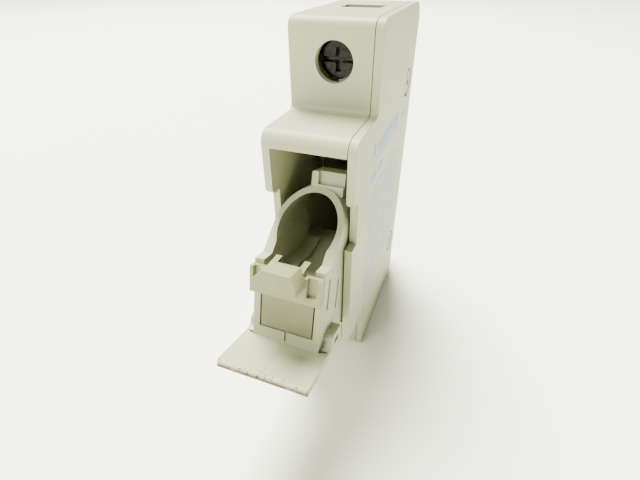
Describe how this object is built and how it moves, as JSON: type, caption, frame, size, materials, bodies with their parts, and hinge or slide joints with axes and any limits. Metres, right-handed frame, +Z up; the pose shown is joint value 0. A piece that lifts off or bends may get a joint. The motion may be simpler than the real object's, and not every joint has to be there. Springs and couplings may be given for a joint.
{
  "type": "cartridge fuse holder",
  "caption": "Rail-mounted one-pole cartridge fuse holder with a hinged fuse carrier, clamp terminals at both ends and a sprung rail latch.",
  "frame": {"origin": "centre of the flat back face that seats on the rail, at the rail's centre line", "axes": "X across the width, -Y towards the front where the fuse carrier opens, +Z up along the height"},
  "size_m": [0.0176, 0.0792, 0.08],
  "materials": {
    "grey_polyamide": "fine moulded texture, light warm grey",
    "cream_plastic": "moulded, yellowed cream",
    "beige_plastic": "moulded, grey beige",
    "black_polyamide": "moulded black",
    "tinned_copper": "tin-plated copper strip",
    "plated_steel": "zinc-plated steel",
    "nickel_screw": "dark nickel-plated steel"
  },
  "bodies": {
    "housing": {"housing_shell": "grey_polyamide", "side_cover": "grey_polyamide", "upper_housing_rivet": "plated_steel", "lower_housing_rivet": "plated_steel", "upper_fuse_clip": "tinned_copper", "upper_terminal_bar": "tinned_copper", "upper_clip_spring": "plated_steel", "upper_contact_rivet": "plated_steel", "lower_fuse_clip": "tinned_copper", "lower_terminal_bar": "tinned_copper", "lower_clip_spring": "plated_steel", "lower_contact_rivet": "plated_steel", "rail_latch_spring": "plated_steel"},
    "carrier": {"fuse_carrier": "grey_polyamide", "carrier_panel": "beige_plastic", "fuse_retainer": "cream_plastic", "pivot_pin": "plated_steel"},
    "upper_cage": {"upper_terminal_cage": "plated_steel"},
    "upper_screw": {"upper_terminal_screw": "nickel_screw"},
    "lower_cage": {"lower_terminal_cage": "plated_steel"},
    "lower_screw": {"lower_terminal_screw": "nickel_screw"},
    "latch": {"rail_latch": "black_polyamide"}
  },
  "joints": [
    {"name": "carrier_hinge", "type": "hinge", "parent": "housing", "child": "carrier", "pos_m": [0, -0.0392, -0.00776], "axis": [-1, 0, 0], "range_deg": [0, 75]},
    {"name": "upper_screw_turn", "type": "hinge", "parent": "housing", "child": "upper_screw", "pos_m": [0, -0.03315, 0.0329], "axis": [0, 1, 0], "range_deg": [0, 2435]},
    {"name": "upper_cage_clamp", "type": "slide", "parent": "housing", "child": "upper_cage", "axis": [0, -1, 0], "range_m": [0, 0.0054]},
    {"name": "lower_screw_turn", "type": "hinge", "parent": "housing", "child": "lower_screw", "pos_m": [0, -0.03315, -0.0329], "axis": [0, 1, 0], "range_deg": [0, 2435]},
    {"name": "lower_cage_clamp", "type": "slide", "parent": "housing", "child": "lower_cage", "axis": [0, -1, 0], "range_m": [0, 0.0054]},
    {"name": "latch_slide", "type": "slide", "parent": "housing", "child": "latch", "axis": [0, 0, -1], "range_m": [0, 0.003], "stiffness_N_per_m": 900, "springref_m": -0.003, "deforming": ["rail_latch_spring"]}
  ],
  "couplings": [
    {"joint": "upper_screw_turn", "follows": "upper_cage_clamp", "rad_per_m": 7854},
    {"joint": "lower_screw_turn", "follows": "lower_cage_clamp", "rad_per_m": 7854}
  ]
}
